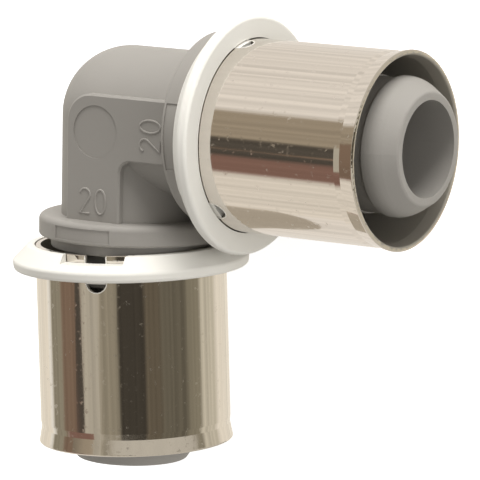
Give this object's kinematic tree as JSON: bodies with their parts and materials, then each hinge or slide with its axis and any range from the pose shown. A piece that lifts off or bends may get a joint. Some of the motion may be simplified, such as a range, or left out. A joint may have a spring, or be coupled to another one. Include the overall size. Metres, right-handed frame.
{
  "type": "press elbow",
  "caption": "Right-angle press elbow: moulded body, ribbed inserts with O-rings, and steel press sleeves hooked on by slotted stop rings.",
  "frame": {"origin": "where the axes of the two arms cross", "axes": "+X along arm A towards its mouth, -Y along arm B towards its mouth, +Z out of the marked face, upwards as the part lies"},
  "size_m": [0.0538, 0.053, 0.0278],
  "materials": {
    "body": "grey PPSU, satin, as moulded",
    "ring": "warm white polyamide, satin, as moulded",
    "sleeve": "bright drawn stainless steel with fine handling scratches",
    "seal": "black EPDM"
  },
  "bodies": {
    "root": {"elbow_body": "body", "stop_ring_a": "ring", "stop_ring_b": "ring", "press_sleeve_a": "sleeve", "press_sleeve_b": "sleeve", "o_ring_a_inner": "seal", "o_ring_a_outer": "seal", "o_ring_b_inner": "seal", "o_ring_b_outer": "seal"}
  },
  "joints": []
}
